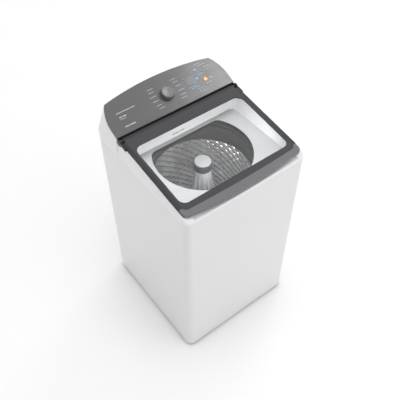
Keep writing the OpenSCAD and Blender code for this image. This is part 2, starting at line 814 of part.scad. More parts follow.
module basket_base() color("lightgray") on_axis() difference() {
    union() {
        translate([0, 0, basket_z]) cylinder(r = basket_r, h = 6);
        translate([0, 0, 330]) cylinder(r = 44, h = 22);
        for (a = [0 : 30 : 330]) rotate([0, 0, a]) translate([40, -2, basket_z - 8]) cube([190, 4, 9]);
    }
    translate([0, 0, 325]) cylinder(r = tube_r, h = 15 + 8);
    translate([0, 0, 340]) cylinder(r = 11, h = 20);
}

module balance_ring() color([0.35, 0.35, 0.36]) on_axis() rotate_extrude($fn = 180) {
    polygon([
        [ring_r + 3, ring_z], [basket_r + 3, ring_z], [basket_r + 3, ring_top - 6], [basket_r - 4, ring_top],
        [ring_r + 8, ring_top], [ring_r + 2, ring_top - 3], [ring_r, ring_top - 10], [ring_r, ring_z + 6]]);
}

module spin_tube() color("silver") on_axis() tube(shaft_r + running_gap, tube_r, 222, 126);

// ---------- agitator ----------

// Upright vanes all round; the outline is given as radius and height
module vanes(count, t, outline) {
    for (i = [0 : count - 1]) rotate([0, 0, 360 * i / count])
        rotate([90, 0, 0]) translate([0, 0, -t / 2]) linear_extrude(t) polygon(outline);
}

module agitator_base() color("gainsboro") on_axis() difference() {
    union() {
        rotate_extrude() polygon([[0, 358], [skirt_r, 358], [skirt_r, 364], [110, 384], [60, 412], [44, 460],
            [41, column_z], [0, column_z]]);
        vanes(4, 12, [[30, column_z], [92, column_z], [122, 480], [158, 400], [164, 368], [30, 366]]);
        vanes(12, 5, [
            [30, column_z - 20], [50, column_z - 20], [70, 450], [150, 384], [160, 366], [30, 366]]);
    }
    // hollow skirt and dispenser tube
    rotate_extrude() polygon([
        [20, 350], [skirt_r - 4, 350], [skirt_r - 4, 361], [108, 379], [56, 406], [20, 412]]);
    translate([0, 0, 420]) cylinder(r = 28, h = 200);
    translate([0, 0, 350]) cylinder(r = shaft_r, h = 50);
    translate([0, 0, 350]) cylinder(r = 4, h = 100);
}

module agitator_column() color("whitesmoke") on_axis() difference() {
    union() {
        translate([0, 0, column_z]) cylinder(r1 = 41, r2 = 34, h = column_top - column_z);
        vanes(4, 12, [[30, column_z], [92, column_z], [70, 630], [48, 700], [36, column_top - 4],
            [30, column_top - 4]]);
        vanes(12, 6, [
            [30, column_z], [54, column_z], [44, 680], [36, column_top - 10], [30, column_top - 10]]);
    }
    translate([0, 0, column_z - 1]) cylinder(r = 28, h = 300);
}

module column_ring() color([0.2, 0.2, 0.21]) on_axis() rotate_extrude() polygon([
    [28, column_top], [36, column_top],
    [37.5, column_top + 3], [37.5, cap_z - 4], [36, cap_z - 1], [28, cap_z - 1]]);

module dispenser_cap() color("white") on_axis() {
    rotate_extrude() polygon([
        [0, cap_z - 26], [27.5, cap_z - 26], [27.5, cap_z], [35, cap_z], [35, cap_z + 1.5],
        [33, cap_z + 3.5], [0, cap_z + 4]]);
}

module agitator_bolt() color("silver") on_axis() {
    translate([0, 0, 380]) cylinder(r = 4, h = 40);
    translate([0, 0, 420]) cylinder(r = 8, h = 6, $fn = 6);
}

module drive_shaft() color("silver") on_axis() difference() {
    translate([0, 0, 186]) cylinder(r = shaft_r, h = 214);
    translate([0, 0, 380]) cylinder(r = 4, h = 30);
}

// ---------- drawing ----------

cabinet();
rear_panel();
rear_panel_screws();
base_frame();
top_cover();
tub_cover();
hinge_blocks();
lid_lock();
console_housing();
console_fascia();
display_window();
indicator_lights();
control_board();
panel_switches();
inlet_valves();
water_spout();
fill_hose();
cord_gland();
rod_brackets();
suspension_rods();
suspension_springs();
drain_pump();
drain_outlet();
drain_bellows();
foot_front_left();
foot_front_right();
foot_rear_left();
foot_rear_right();
outer_tub();
tub_ring();
clutch_housing();
tub_bearings();
shaft_seal();
drive_plate();
motor_housing();
motor_stator();
run_capacitor();
drive_belt();
motor_rotor();
motor_pulley();
basket();
basket_base();
balance_ring();
spin_tube();
agitator_base();
agitator_column();
column_ring();
agitator_bolt();
drive_shaft();
drive_pulley();
dispenser_cap();
lid_frame();
lid_glass();
glass_border();
lid_handle();
hinge_ears();
programme_knob();
start_button();
option_button_1();
option_button_2();
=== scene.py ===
import json
import math

import bmesh
import bpy
from mathutils import Matrix, Vector


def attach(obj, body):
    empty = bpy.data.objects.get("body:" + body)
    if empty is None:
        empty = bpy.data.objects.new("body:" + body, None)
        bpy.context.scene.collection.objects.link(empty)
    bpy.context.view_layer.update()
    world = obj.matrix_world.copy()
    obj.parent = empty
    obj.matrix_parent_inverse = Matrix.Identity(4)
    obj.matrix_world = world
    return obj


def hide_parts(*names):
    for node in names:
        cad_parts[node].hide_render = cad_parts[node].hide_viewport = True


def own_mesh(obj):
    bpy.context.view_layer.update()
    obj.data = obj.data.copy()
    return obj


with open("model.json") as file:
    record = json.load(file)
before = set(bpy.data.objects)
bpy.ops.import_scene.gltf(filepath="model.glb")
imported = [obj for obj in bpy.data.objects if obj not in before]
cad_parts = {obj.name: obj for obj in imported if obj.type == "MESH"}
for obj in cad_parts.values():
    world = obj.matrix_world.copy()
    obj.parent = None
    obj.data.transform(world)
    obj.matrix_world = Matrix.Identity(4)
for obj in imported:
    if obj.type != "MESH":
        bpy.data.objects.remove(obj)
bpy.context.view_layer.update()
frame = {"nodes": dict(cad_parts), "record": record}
nodes = frame["nodes"]
scene = bpy.context.scene

# The lid's and the control panel's own frames: x across, y up the slope, z out of the face.
LID = Matrix.Translation((0, -0.276, 0.941)) @ Matrix.Rotation(math.radians(8.2), 4, "X")
PANEL = Matrix.Translation((0, 0.141, 1.001)) @ Matrix.Rotation(math.radians(24.4), 4, "X")

# The upright axis of the tub, basket and agitator is at x 0 and this y.
AXIS_Y = -0.020

# The basket's wall, its slanting ribs, and the rows of drain holes in the hollows between them.
BASKET_R = 0.240
BASKET_LOW, BASKET_HIGH = 0.346, 0.760
BASKET_STEEL = 0.001
RIBS = 36
RIB_HEIGHT = 0.0048
RIB_LOW, RIB_HIGH = 0.352, 0.756
RIB_FADE = 0.03
RIB_SHARPNESS = 1.6
RIB_SLOPE = math.radians(38.0)
RIB_PITCH = 2 * math.pi * BASKET_R / RIBS
RIB_TURNS = RIBS / (2 * math.pi * BASKET_R * math.tan(RIB_SLOPE))
HOLE_R, HOLE_SIDES = 0.0021, 8
HOLE_PROUD, HOLE_THICK = 0.00025, 0.0004
HOLE_LOW, HOLE_HIGH, HOLE_ROWS = 0.372, 0.742, 22
HOLE_STEP = (HOLE_HIGH - HOLE_LOW) / (HOLE_ROWS - 1)

# The agitator: its heights, the bore of its column, and its vanes. Every third vane is a big one.
AGITATOR_LOW, AGITATOR_JOINT, AGITATOR_HIGH = 0.358, 0.56, 0.797
BORE_R, BORE_CHAMFER = 0.028, 0.001
VANES, BIG_VANE_EVERY = 12, 3
BIG_VANE_HALF = 0.006
VANE_BLEND, BIG_VANE_BLEND = 0.004, 0.005

# The drain bellows' upright axis.
BELLOWS_AT = (-0.150, 0.100)

# How far up the panel the knob's middle is, in millimetres.
KNOB_UP = 78


# ---------- camera ----------

def add_camera():
    """The photograph's point of view: from above, in front and to the left."""
    azimuth, elevation = math.radians(-37.40), math.radians(49.33)
    aim, distance = Vector((0.0016, 0.0, 0.5756)), 2.454
    back = Vector((math.sin(azimuth) * math.cos(elevation), -math.cos(azimuth) * math.cos(elevation),
                   math.sin(elevation)))
    data = bpy.data.cameras.new("camera")
    data.lens = 50.05
    data.sensor_width = 36.0
    data.clip_end = 60.0
    camera = bpy.data.objects.new("camera", data)
    scene.collection.objects.link(camera)
    camera.location = aim + back * distance
    camera.rotation_mode = "QUATERNION"
    camera.rotation_quaternion = (-back).to_track_quat("-Z", "Y")
    scene.camera = camera


# ---------- materials ----------

# Where Blender's Mix node has the sockets for its two colours and their mixture.
MIX_FIRST, MIX_SECOND, MIX_RESULT = 6, 7, 2


def shade(colour, factor):
    """A colour made darker or lighter, with its alpha."""
    return tuple(min(1.0, c * factor) for c in colour[:3]) + (1.0,)


class Maker:
    """Small helper round one material's node tree."""

    def __init__(self, name):
        self.material = bpy.data.materials.new(name)
        self.material.use_nodes = True
        self.tree = self.material.node_tree
        self.tree.nodes.clear()
        self.out = self.add("ShaderNodeOutputMaterial")
        self.coords = self.add("ShaderNodeTexCoord").outputs["Object"]

    def add(self, kind, **values):
        node = self.tree.nodes.new(kind)
        for key, value in values.items():
            setattr(node, key, value)
        return node

    def link(self, a, b):
        self.tree.links.new(a, b)

    def stretched(self, scale):
        mapping = self.add("ShaderNodeMapping")
        mapping.inputs["Scale"].default_value = scale
        self.link(self.coords, mapping.inputs["Vector"])
        return mapping.outputs["Vector"]

    def noise(self, scale, detail=3.0, vector=None, rough=0.5):
        node = self.add("ShaderNodeTexNoise")
        node.inputs["Scale"].default_value = scale
        node.inputs["Detail"].default_value = detail
        node.inputs["Roughness"].default_value = rough
        self.link(vector or self.coords, node.inputs["Vector"])
        return node.outputs["Fac"]

    def cells(self, scale):
        node = self.add("ShaderNodeTexVoronoi")
        node.inputs["Scale"].default_value = scale
        self.link(self.coords, node.inputs["Vector"])
        return node

    def ranged(self, value, low, high, from_low=0.3, from_high=0.7):
        node = self.add("ShaderNodeMapRange")
        node.inputs["From Min"].default_value = from_low
        node.inputs["From Max"].default_value = from_high
        node.inputs["To Min"].default_value = low
        node.inputs["To Max"].default_value = high
        self.link(value, node.inputs["Value"])
        return node.outputs["Result"]

    def mixed(self, value, first, second):
        node = self.add("ShaderNodeMix", data_type="RGBA")
        node.inputs[MIX_FIRST].default_value = first
        node.inputs[MIX_SECOND].default_value = second
        self.link(value, node.inputs["Factor"])
        return node.outputs[MIX_RESULT]

    def bumped(self, height, strength, distance, edge=0.0, normal=None):
        """A bump on rounded edges of this radius, or on another bump's normal."""
        node = self.add("ShaderNodeBump")
        node.inputs["Strength"].default_value = strength
        node.inputs["Distance"].default_value = distance
        self.link(height, node.inputs["Height"])
        if edge > 0:
            bevel = self.add("ShaderNodeBevel", samples=4)
            bevel.inputs["Radius"].default_value = edge
            normal = bevel.outputs["Normal"]
        if normal:
            self.link(normal, node.inputs["Normal"])
        return node.outputs["Normal"]

    def principled(self, metallic=0.0, coat=0.0, coat_rough=0.05, ior=1.5, specular=0.5):
        shader = self.add("ShaderNodeBsdfPrincipled")
        shader.inputs["Metallic"].default_value = metallic
        shader.inputs["IOR"].default_value = ior
        shader.inputs["Specular IOR Level"].default_value = specular
        shader.inputs["Coat Weight"].default_value = coat
        shader.inputs["Coat Roughness"].default_value = coat_rough
        self.link(shader.outputs["BSDF"], self.out.inputs["Surface"])
        return shader


def moulded(name, colour, rough, tint=0.04, tint_scale=5.0, rough_var=0.05, grain=900.0, strength=0.12,
            depth=0.0002, edge=0.0008, coat=0.0, coat_rough=0.06, specular=0.5):
    """Painted or moulded surface: slow changes of tone, uneven gloss and a fine grain."""
    m = Maker(name)
    shader = m.principled(coat=coat, coat_rough=coat_rough, specular=specular)
    tone = m.noise(tint_scale, 4.0)
    m.link(m.mixed(m.ranged(tone, 0.0, 1.0), shade(colour, 1 - tint), shade(colour, 1 + tint)),
           shader.inputs["Base Color"])
    m.link(m.ranged(m.noise(22.0, 5.0), rough - rough_var, rough + rough_var), shader.inputs["Roughness"])
    m.link(m.bumped(m.noise(grain, 2.0), strength, depth, edge), shader.inputs["Normal"])
    return m.material


def metal(name, colour, rough, stretch=(1, 1, 1), tint=0.06, grain=260.0, rough_var=0.08, strength=0.15,
          depth=0.00015, edge=0.0005, spangle=0.0):
    """Bare metal, with brushing where stretch isn't even and zinc spangles where spangle is above 0."""
    m = Maker(name)
    shader = m.principled(metallic=1.0)
    vector = m.stretched(stretch)
    streaks = m.noise(grain, 4.0, vector, 0.65)
    tone = m.mixed(m.ranged(streaks, 0.0, 1.0), shade(colour, 1 - tint), shade(colour, 1 + tint))
    if spangle > 0:
        crystals = m.cells(spangle)
        facets = m.add("ShaderNodeMix", data_type="RGBA", blend_type="MULTIPLY")
        facets.inputs["Factor"].default_value = 0.35
        m.link(tone, facets.inputs[MIX_FIRST])
        grey = m.add("ShaderNodeRGBToBW")
        m.link(crystals.outputs["Color"], grey.inputs["Color"])
        pale = m.ranged(grey.outputs["Val"], 0.55, 1.0, 0.1, 0.9)
        m.link(pale, facets.inputs[MIX_SECOND])
        tone = facets.outputs[MIX_RESULT]
    m.link(tone, shader.inputs["Base Color"])
    wear = m.noise(14.0, 5.0)
    m.link(m.ranged(wear, rough - rough_var, rough + rough_var), shader.inputs["Roughness"])
    m.link(m.bumped(streaks, strength, depth, edge), shader.inputs["Normal"])
    return m.material


def clear_glass(name):
    """Tempered glass that lets lamps through to what is behind it."""
    m = Maker(name)
    shader = m.principled(ior=1.45)
    shader.inputs["Transmission Weight"].default_value = 1.0
    shader.inputs["Roughness"].default_value = 0.0
    m.link(m.mixed(m.noise(9.0, 4.0), (0.98, 0.988, 0.985, 1.0), (0.99, 0.993, 0.992, 1.0)),
           shader.inputs["Base Color"])
    open_way = m.add("ShaderNodeBsdfTransparent")
    open_way.inputs["Color"].default_value = (0.985, 0.99, 0.988, 1.0)
    path = m.add("ShaderNodeLightPath")
    either = m.add("ShaderNodeMath", operation="MAXIMUM")
    m.link(path.outputs["Is Shadow Ray"], either.inputs[0])
    m.link(path.outputs["Is Diffuse Ray"], either.inputs[1])
    mix = m.add("ShaderNodeMixShader")
    m.link(either.outputs["Value"], mix.inputs["Fac"])
    m.link(shader.outputs["BSDF"], mix.inputs[1])
    m.link(open_way.outputs["BSDF"], mix.inputs[2])
    m.link(mix.outputs["Shader"], m.out.inputs["Surface"])
    return m.material


def winding(name):
    """Varnished copper wire, laid in turns round the motor."""
    m = Maker(name)
    shader = m.principled(metallic=0.7, coat=0.4)
    wave = m.add("ShaderNodeTexWave", wave_type="BANDS", bands_direction="Z")
    wave.inputs["Scale"].default_value = 160.0
    wave.inputs["Distortion"].default_value = 1.5
    m.link(m.coords, wave.inputs["Vector"])
    m.link(m.mixed(wave.outputs["Fac"], (0.2, 0.06, 0.02, 1), (0.62, 0.27, 0.11, 1)),
           shader.inputs["Base Color"])
    m.link(m.ranged(m.noise(60.0), 0.25, 0.45), shader.inputs["Roughness"])
    m.link(m.bumped(wave.outputs["Fac"], 0.5, 0.0006), shader.inputs["Normal"])
    return m.material


def basket_steel(name):
    """Brushed stainless sheet with painted shade in the hollows between the ribs and a dimple pressed round
    every drain hole.
    """
    m = Maker(name)
    shader = m.principled(metallic=0.8)
    place = m.add("ShaderNodeSeparateXYZ")
    m.link(m.coords, place.inputs["Vector"])

    def calc(operation, first, second=None, third=None):
        node = m.add("ShaderNodeMath", operation=operation)
        for socket, value in zip(node.inputs, (first, second, third)):
            if isinstance(value, float):
                socket.default_value = value
            elif value is not None:
                m.link(value, socket)
        return node.outputs["Value"]

    def from_middle(count, pitch):
        """Distance from the middle of the repeat that this count of pitches falls in."""
        return calc("MULTIPLY", calc("SUBTRACT", calc("FLOORED_MODULO", count, 1.0), 0.5), pitch)

    angle = calc("ARCTAN2", calc("SUBTRACT", place.outputs["Y"], AXIS_Y), place.outputs["X"])
    lean = calc("MULTIPLY", place.outputs["Z"], -RIB_TURNS)
    turn = calc("MULTIPLY_ADD", angle, RIBS / (2 * math.pi), lean)
    across = from_middle(turn, RIB_PITCH)
    row = calc("MULTIPLY_ADD", place.outputs["Z"], 1 / HOLE_STEP, 0.5 - HOLE_LOW / HOLE_STEP)
    along = from_middle(row, HOLE_STEP)
    apart = calc("SQRT", calc("MULTIPLY_ADD", across, across, calc("MULTIPLY", along, along)))
    dimple = m.ranged(apart, 0.0, 1.0, from_low=0.0015, from_high=0.008)
    streaks = m.noise(120.0, detail=4.0, vector=m.stretched((1, 1, 5)), rough=0.65)
    # painted shade: the steel darker along the hollows with the hole rows, lighter on the rib tops
    rib_hollow_shade = m.ranged(calc("ABSOLUTE", across), 0.0, 1.0, from_low=0.001, from_high=0.006)
    clouds = m.noise(16.0, detail=4.0, vector=m.stretched((1, 1, 0.6)), rough=0.6)
    swirl = m.ranged(clouds, 0.25, 1.0, from_low=0.35, from_high=0.65)
    m.link(m.mixed(calc("MULTIPLY", rib_hollow_shade, swirl), (0.42, 0.422, 0.432, 1), (1.0, 1.0, 1.0, 1)),
           shader.inputs["Base Color"])
    m.link(m.ranged(swirl, 0.3, 0.16), shader.inputs["Roughness"])
    brushed = m.bumped(streaks, 0.08, 0.00015)
    m.link(m.bumped(dimple, 0.9, 0.0022, normal=brushed), shader.inputs["Normal"])
    return m.material


# Each row: colour, roughness and the settings that differ from moulded()'s.
PAINT_AND_PLASTIC = {
    # cabinet, base and top
    "white_enamel": ((0.73, 0.732, 0.742), 0.3, dict(tint=0.008, tint_scale=2.5, rough_var=0.02,
                     grain=2500.0, strength=0.01, depth=0.00002, edge=0.0, coat=0.3, coat_rough=0.2)),
    "white_plastic": ((0.78, 0.782, 0.797), 0.3, dict(tint=0.01, rough_var=0.02, grain=2500.0,
                      strength=0.02, depth=0.00002, edge=0.0016, coat=0.25, coat_rough=0.18)),
    # the tub cover's white plastic, darker as painted shade
    "cover_plastic_shaded": ((0.46, 0.462, 0.472), 0.34, dict(tint=0.01, rough_var=0.02, grain=2500.0,
                      strength=0.02, depth=0.00002, edge=0.0016)),
    "frame_plastic": ((0.045, 0.045, 0.05), 0.55, dict(grain=600.0, strength=0.3)),
    # basket, agitator and tub
    # the dispenser cap's white plastic, darker as painted shade
    "cap_plastic_shaded": ((0.46, 0.463, 0.476), 0.36, dict(tint=0.015, strength=0.06, edge=0.001)),
    "agitator_plastic": ((0.66, 0.665, 0.68), 0.3, dict(tint=0.02, grain=500.0, strength=0.06, edge=0.0)),
    "ring_plastic": ((0.075, 0.075, 0.08), 0.36, dict(tint=0.08)),
    "balance_plastic": ((0.085, 0.086, 0.09), 0.38, dict(tint=0.06, grain=500.0, strength=0.04)),
    "tub_plastic": ((0.5, 0.51, 0.52), 0.5, dict(grain=300.0, strength=0.2)),
    # drive and water
    "motor_paint": ((0.04, 0.045, 0.05), 0.42, dict(grain=420.0, strength=0.3)),
    "pump_plastic": ((0.42, 0.42, 0.42), 0.5, dict(grain=500.0, strength=0.25)),
    "valve_plastic": ((0.72, 0.70, 0.62), 0.42, {}),
    # small parts in several places
    "black_plastic": ((0.012, 0.012, 0.013), 0.4, dict(tint=0.2, grain=700.0, strength=0.2)),
    "black_rubber": ((0.018, 0.018, 0.018), 0.72, dict(tint=0.3, tint_scale=30.0, grain=500.0,
                     strength=0.35)),
    # lid and its lock
    "lid_plastic": ((0.036, 0.036, 0.039), 0.42, dict(tint=0.08, strength=0.05, edge=0.0012, specular=0.3)),
    "handle_plastic": ((0.15, 0.15, 0.158), 0.34, dict(tint=0.06, strength=0.1, edge=0.001)),
    "border_print": ((0.026, 0.025, 0.028), 0.7, dict(tint=0.1, grain=1200.0, strength=0.02, depth=0.0001,
                     edge=0.0, specular=0.05)),
    "glass_print": ((0.05, 0.049, 0.053), 0.7, dict(tint=0.06, grain=1200.0, strength=0.01, depth=0.00005,
                    edge=0.0, coat=1.0, coat_rough=0.01, specular=0.05)),
    "acetal": ((0.78, 0.78, 0.76), 0.35, {}),
    # control panel and its board
    "panel_grey": ((0.038, 0.0385, 0.0405), 0.4, dict(tint_scale=3.0, grain=160.0, strength=0.04,
                   depth=0.0001, edge=0.0, coat=0.35, coat_rough=0.2)),
    "display_lens": ((0.05, 0.062, 0.08), 0.3, dict(tint=0.1, grain=400.0, strength=0.02, coat=0.3,
                     coat_rough=0.1)),
    "light_pipe": ((0.35, 0.5, 0.68), 0.2, dict(tint=0.08)),
    "knob_plastic": ((0.125, 0.126, 0.13), 0.3, dict(strength=0.06)),
    "start_orange": ((0.88, 0.22, 0.015), 0.28, dict(tint=0.06, tint_scale=40.0, coat=0.5)),
    "option_blue": ((0.11, 0.24, 0.5), 0.28, dict(tint=0.06, tint_scale=40.0, coat=0.5)),
    "circuit_board": ((0.02, 0.16, 0.07), 0.35, dict(tint=0.25, tint_scale=160.0)),
    # printed marks
    "print_pale": ((0.36, 0.365, 0.38), 0.45, dict(tint=0.05, tint_scale=60.0, edge=0.0)),
    "print_blue": ((0.18, 0.3, 0.48), 0.45, dict(tint=0.05, tint_scale=60.0, edge=0.0)),
    "print_rose": ((0.5, 0.26, 0.22), 0.45, dict(tint=0.05, tint_scale=60.0, edge=0.0)),
    "print_grey": ((0.52, 0.52, 0.53), 0.4, dict(tint=0.05, tint_scale=60.0, edge=0.0)),
    "print_dark": ((0.12, 0.12, 0.125), 0.4, dict(tint=0.05, tint_scale=60.0, edge=0.0)),
    # drain holes and floor
    # dark discs for the drain holes, painted shade in place of the openings
    "hole_dark": ((0.01, 0.01, 0.011), 0.5, dict(tint=0.3, tint_scale=60.0, edge=0.0)),
    "floor_paint": ((0.91, 0.91, 0.91), 0.85, dict(tint=0.01, tint_scale=1.0, grain=90.0, strength=0.03,
                    edge=0.0, specular=0.1)),
}

# Each row: colour, roughness and the settings that differ from metal()'s.
METALS = {
    "zinc_steel": ((0.56, 0.57, 0.58), 0.4, dict(tint=0.05, grain=60.0, spangle=110.0)),
    "spring_steel": ((0.4, 0.4, 0.41), 0.32, dict(grain=90.0)),
    "cast_alloy": ((0.52, 0.53, 0.54), 0.5, dict(grain=420.0, strength=0.5, depth=0.0004)),
    "bearing_steel": ((0.66, 0.67, 0.68), 0.2, dict(stretch=(1, 1, 6))),
    "capacitor_can": ((0.62, 0.62, 0.62), 0.3, dict(stretch=(1, 1, 0.1))),
    "machined_steel": ((0.55, 0.55, 0.56), 0.26, dict(stretch=(1, 1, 14))),
    "stainless": ((0.8, 0.803, 0.815), 0.24, dict(stretch=(1, 1, 5), tint=0.05, grain=120.0, rough_var=0.05,
                  strength=0.08, edge=0.0)),
}

MATERIALS = {}


def make_materials():
    """Fills MATERIALS with every slot's material and the few that aren't slots."""
    for name, (colour, rough, settings) in PAINT_AND_PLASTIC.items():
        MATERIALS[name] = moulded(name, colour, rough, **settings)
    for name, (colour, rough, settings) in METALS.items():
        MATERIALS[name] = metal(name, colour, rough, **settings)
    MATERIALS["copper_winding"] = winding("copper_winding")
    MATERIALS["basket_steel"] = basket_steel("basket_steel")
    MATERIALS["lid_glass"] = clear_glass("lid_glass")


# ---------- mesh building ----------

def add_piece(name, verts, faces, body, material, sharp=35.0, replaces=()):
    """A new piece that rides on one body. Edges sharper than this angle in degrees stay sharp."""
    mesh = bpy.data.meshes.new(name)
    mesh.from_pydata([tuple(v) for v in verts], [], faces)
    bm = bmesh.new()
    bm.from_mesh(mesh)
    bmesh.ops.remove_doubles(bm, verts=bm.verts, dist=1e-7)
    bmesh.ops.recalc_face_normals(bm, faces=bm.faces)
    bm.to_mesh(mesh)
    bm.free()
    mesh.shade_smooth()
    mesh.set_sharp_from_angle(angle=math.radians(sharp))
    obj = bpy.data.objects.new(name, mesh)
    scene.collection.objects.link(obj)
    obj.data.materials.append(MATERIALS[material])
    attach(obj, body)
    if replaces:
        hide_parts(*replaces)
    return obj


def ring_angles(count):
    """Even angles once round a circle."""
    return [2 * math.pi * j / count for j in range(count)]


def round_axis(r, angle, z):
    """The point at this radius, angle and height round the tub's axis."""
    return (r * math.cos(angle), AXIS_Y + r * math.sin(angle), z)


def rings_to_faces(rows, around, start=0):
    """Quads between closed rows of points, each row with the same count of points."""
    faces = []
    for i in range(rows - 1):
        a = start + i * around
        for j in range(around):
            k = (j + 1) % around
            faces.append((a + j, a + k, a + around + k, a + around + j))
    return faces


def last_to_first(rows, around):
    """Quads from the last of these rows back to the first."""
    last = (rows - 1) * around
    return [(last + j, last + (j + 1) % around, (j + 1) % around, j) for j in range(around)]


def cap(start, around, flip=False):
    """One face across a row of points."""
    face = tuple(range(start, start + around))
    return face[::-1] if flip else face


def revolve(points, segments, centre):
    """A closed outline of (radius, height) turned round an upright axis at this centre."""
    verts = []
    for r, z in points + points[:1]:
        for a in ring_angles(segments):
            verts.append((centre[0] + r * math.cos(a), centre[1] + r * math.sin(a), z))
    return verts, rings_to_faces(len(points) + 1, segments)


def blend_points(points, z):
    """Smooth curve through (height, value) points given from low to high."""
    if z <= points[0][0]:
        return points[0][1]
    for i in range(len(points) - 1):
        z0, v0 = points[i]
        z1, v1 = points[i + 1]
        if z <= z1:
            before = points[i - 1] if i > 0 else points[i]
            after = points[i + 2] if i + 2 < len(points) else points[i + 1]
            t = (z - z0) / (z1 - z0)
            m0 = (v1 - before[1]) / max(z1 - before[0], 1e-9) * (z1 - z0)
            m1 = (after[1] - v0) / max(after[0] - z0, 1e-9) * (z1 - z0)
            return ((2 * t ** 3 - 3 * t ** 2 + 1) * v0 + (t ** 3 - 2 * t ** 2 + t) * m0
                    + (3 * t ** 2 - 2 * t ** 3) * v1 + (t ** 3 - t ** 2) * m1)
    return points[-1][1]


# ---------- wash basket ----------

def rib_height(angle, z):
    """How far a rib stands in from the wall. The ribs fade out at the top and the bottom."""
    phase = RIBS * angle / (2 * math.pi) - RIB_TURNS * z
    wave = 0.5 + 0.5 * math.cos(2 * math.pi * phase)
    ends = min(1.0, max(0.0, min(z - RIB_LOW, RIB_HIGH - z)) / RIB_FADE)
    ends = ends * ends * (3 - 2 * ends)
    return RIB_HEIGHT * wave ** RIB_SHARPNESS * ends


def make_basket_wall():
    """The basket's steel wall, ribbed inside and plain outside."""
    around, rows = 540, 96
    verts = []
    for i in range(rows + 1):
        z = BASKET_LOW + (BASKET_HIGH - BASKET_LOW) * i / rows
        verts += [round_axis(BASKET_R - rib_height(a, z), a, z) for a in ring_angles(around)]
    for z in (BASKET_HIGH, BASKET_LOW):
        verts += [round_axis(BASKET_R + BASKET_STEEL, a, z) for a in ring_angles(around)]
    faces = rings_to_faces(rows + 3, around) + last_to_first(rows + 3, around)
    add_piece("basket_wall", verts, faces, "basket", "basket_steel", 60.0, ["basket"])


def make_basket_holes():
    """A dark disc for every drain hole, painted shade in place of the opening, in the hollows between the
    ribs.
    """
    verts, faces = [], []
    for i in range(RIBS):
        for k in range(HOLE_ROWS):
            z = HOLE_LOW + k * HOLE_STEP
            angle = 2 * math.pi * (i + 0.5 + RIB_TURNS * z) / RIBS
            out = Vector((math.cos(angle), math.sin(angle), 0))
            side = Vector((-math.sin(angle), math.cos(angle), 0))
            centre = out * (BASKET_R - rib_height(angle, z) - HOLE_PROUD) + Vector((0, AXIS_Y, z))
            first = len(verts)
            for depth in (0.0, HOLE_THICK):
                for t in ring_angles(HOLE_SIDES):
                    up = Vector((0, 0, HOLE_R * math.sin(t)))
                    verts.append(centre + out * depth + side * HOLE_R * math.cos(t) + up)
            faces.append(cap(first, HOLE_SIDES))
            faces.append(cap(first + HOLE_SIDES, HOLE_SIDES, True))
            faces += rings_to_faces(2, HOLE_SIDES, first)
    add_piece("basket_holes", verts, faces, "basket", "hole_dark")


# ---------- agitator ----------

# Heights and radii from low to high, of the lower and the upper part: the round core, then how far the big
# and the small vanes reach.
BASE_CORE = [(AGITATOR_LOW, 0.172), (0.364, 0.172), (0.372, 0.142), (0.384, 0.110), (0.412, 0.062),
             (0.46, 0.0455), (0.51, 0.0425), (AGITATOR_JOINT, 0.041)]
COLUMN_CORE = [(AGITATOR_JOINT, 0.041), (AGITATOR_HIGH, 0.034)]
BASE_BIG = [(AGITATOR_LOW, 0.164), (0.368, 0.164), (0.40, 0.157), (0.48, 0.122), (AGITATOR_JOINT, 0.092)]
COLUMN_BIG = [(AGITATOR_JOINT, 0.092), (0.63, 0.070), (0.70, 0.0485), (0.765, 0.0375), (0.793, 0.030)]
BASE_SMALL = [(AGITATOR_LOW, 0.160), (0.366, 0.160), (0.384, 0.148), (0.45, 0.074), (0.50, 0.060),
              (AGITATOR_JOINT, 0.054)]
COLUMN_SMALL = [(AGITATOR_JOINT, 0.054), (0.62, 0.0495), (0.68, 0.0445), (0.75, 0.0385), (0.787, 0.030)]

# Where the lower part's rows of points lie up to the top of its rim.
RIM_ROWS = [AGITATOR_LOW, 0.3595, 0.362, 0.3645]
RIM_TOP = 0.3655

# Angles off a vane's middle, in degrees, closer together near the vane.
HALF_SECTOR = [0.55, 1.1, 1.6, 2.1, 2.6, 3.1, 3.7, 4.4, 5.2, 6.2, 7.4, 8.8, 10.5, 12.5]
SECTOR = [-180 / VANES] + [-step for step in reversed(HALF_SECTOR)] + [0] + HALF_SECTOR


def vane_radius(offset, reach, half):
    """Radius of a flat vane of this half thickness at an angle off its middle."""
    side = half / max(math.sin(abs(offset)), 1e-4)
    tip = reach - 0.5 * half * min(1.0, (abs(offset) * reach / half) ** 4)
    return min(tip, side)


def softer_max(a, b, k):
    """The larger of two, rounded over where they are closer than k."""
    h = max(k - abs(a - b), 0.0) / k
    return max(a, b) + h * h * k * 0.25


def loft_agitator(name, low, high, rows, core, big, small, small_half, bore_low, node):
    """One part of the agitator. The bore runs right through, or stops above a flat bottom."""
    closed = bore_low > low
    levels = [low + (high - low) * i / rows for i in range(rows + 1)]
    if closed:
        levels = RIM_ROWS + [z for z in levels if z > RIM_TOP]
    spokes = [(vane, math.radians(step)) for vane in range(VANES) for step in SECTOR]
    verts, around = [], len(spokes)
    for z in levels:
        core_r, big_r, small_r = (blend_points(points, z) for points in (core, big, small))
        for vane, offset in spokes:
            r = softer_max(core_r, vane_radius(offset, small_r, small_half), VANE_BLEND)
            if vane % BIG_VANE_EVERY == 0:
                r = softer_max(r, vane_radius(offset, big_r, BIG_VANE_HALF), BIG_VANE_BLEND)
            verts.append(round_axis(r, 2 * math.pi * vane / VANES + offset, z))
    for r, z in ((BORE_R + BORE_CHAMFER, high), (BORE_R, high - BORE_CHAMFER), (BORE_R, bore_low)):
        verts += [round_axis(r, 2 * math.pi * vane / VANES + offset, z) for vane, offset in spokes]
    count = len(levels) + 3
    faces = rings_to_faces(count, around)
    if closed:
        faces.append(cap(0, around, True))
        faces.append(cap((count - 1) * around, around))
    else:
        faces += last_to_first(count, around)
    add_piece(name, verts, faces, "agitator", "agitator_plastic", 50.0, [node])


